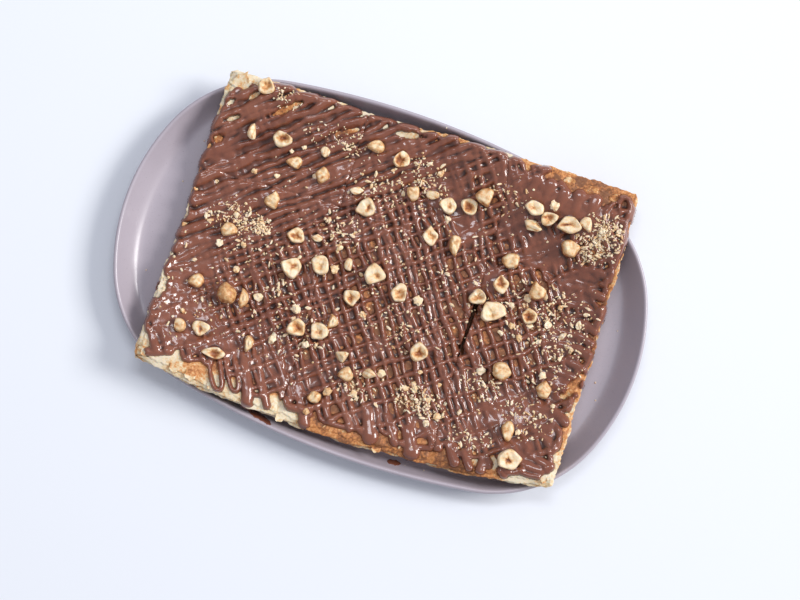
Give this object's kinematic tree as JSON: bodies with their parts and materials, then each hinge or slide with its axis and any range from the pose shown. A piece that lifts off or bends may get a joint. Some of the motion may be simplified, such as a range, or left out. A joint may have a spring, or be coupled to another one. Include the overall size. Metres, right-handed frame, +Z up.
{
  "type": "plate of feteer",
  "caption": "Square-cut sheet of thin layered pastry with crossed chocolate drizzle and hazelnut pieces, lying over an oblong stoneware platter.",
  "frame": {"origin": "under the middle of the whole, on the surface that the platter stands on", "axes": "+X along the platter's long axis, +Y across it towards the edge with the far-reaching pastry corner, +Z up"},
  "size_m": [0.38, 0.2464, 0.038],
  "materials": {
    "stoneware": "satin grey-mauve glaze",
    "sauced_pastry": "glossy milk-chocolate drizzle over toasted, flaky pale dough",
    "hazelnut": "matt cream nut flesh with some brown skin"
  },
  "bodies": {
    "root": {"plate": "stoneware", "feteer": "sauced_pastry", "half_dome_01": "hazelnut", "half_dome_02": "hazelnut", "half_dome_03": "hazelnut", "half_dome_04": "hazelnut", "half_dome_05": "hazelnut", "half_dome_06": "hazelnut", "half_dome_07": "hazelnut", "half_dome_08": "hazelnut", "half_dome_09": "hazelnut", "half_dome_10": "hazelnut", "half_dome_11": "hazelnut", "half_dome_12": "hazelnut", "half_dome_13": "hazelnut", "half_dome_14": "hazelnut", "half_dome_15": "hazelnut", "half_dome_16": "hazelnut", "half_dome_17": "hazelnut", "half_dome_18": "hazelnut", "half_open_01": "hazelnut", "half_open_02": "hazelnut", "half_open_03": "hazelnut", "half_open_04": "hazelnut", "half_open_05": "hazelnut", "half_open_06": "hazelnut", "half_open_07": "hazelnut", "half_open_08": "hazelnut", "half_open_09": "hazelnut", "half_open_10": "hazelnut", "half_open_11": "hazelnut", "cup_01": "hazelnut", "cup_02": "hazelnut", "cup_03": "hazelnut", "cup_04": "hazelnut", "cup_05": "hazelnut", "cup_06": "hazelnut", "cup_07": "hazelnut", "cup_08": "hazelnut", "cup_09": "hazelnut", "cup_10": "hazelnut", "cup_11": "hazelnut", "cup_12": "hazelnut", "cup_13": "hazelnut", "cup_14": "hazelnut", "cup_15": "hazelnut", "crescent_01": "hazelnut", "crescent_02": "hazelnut", "crescent_03": "hazelnut", "whole_01": "hazelnut", "chip_01": "hazelnut", "chip_02": "hazelnut", "chip_03": "hazelnut", "chip_04": "hazelnut", "chip_05": "hazelnut", "chip_06": "hazelnut", "chip_07": "hazelnut", "chip_08": "hazelnut", "chip_09": "hazelnut", "chip_10": "hazelnut"}
  },
  "joints": []
}
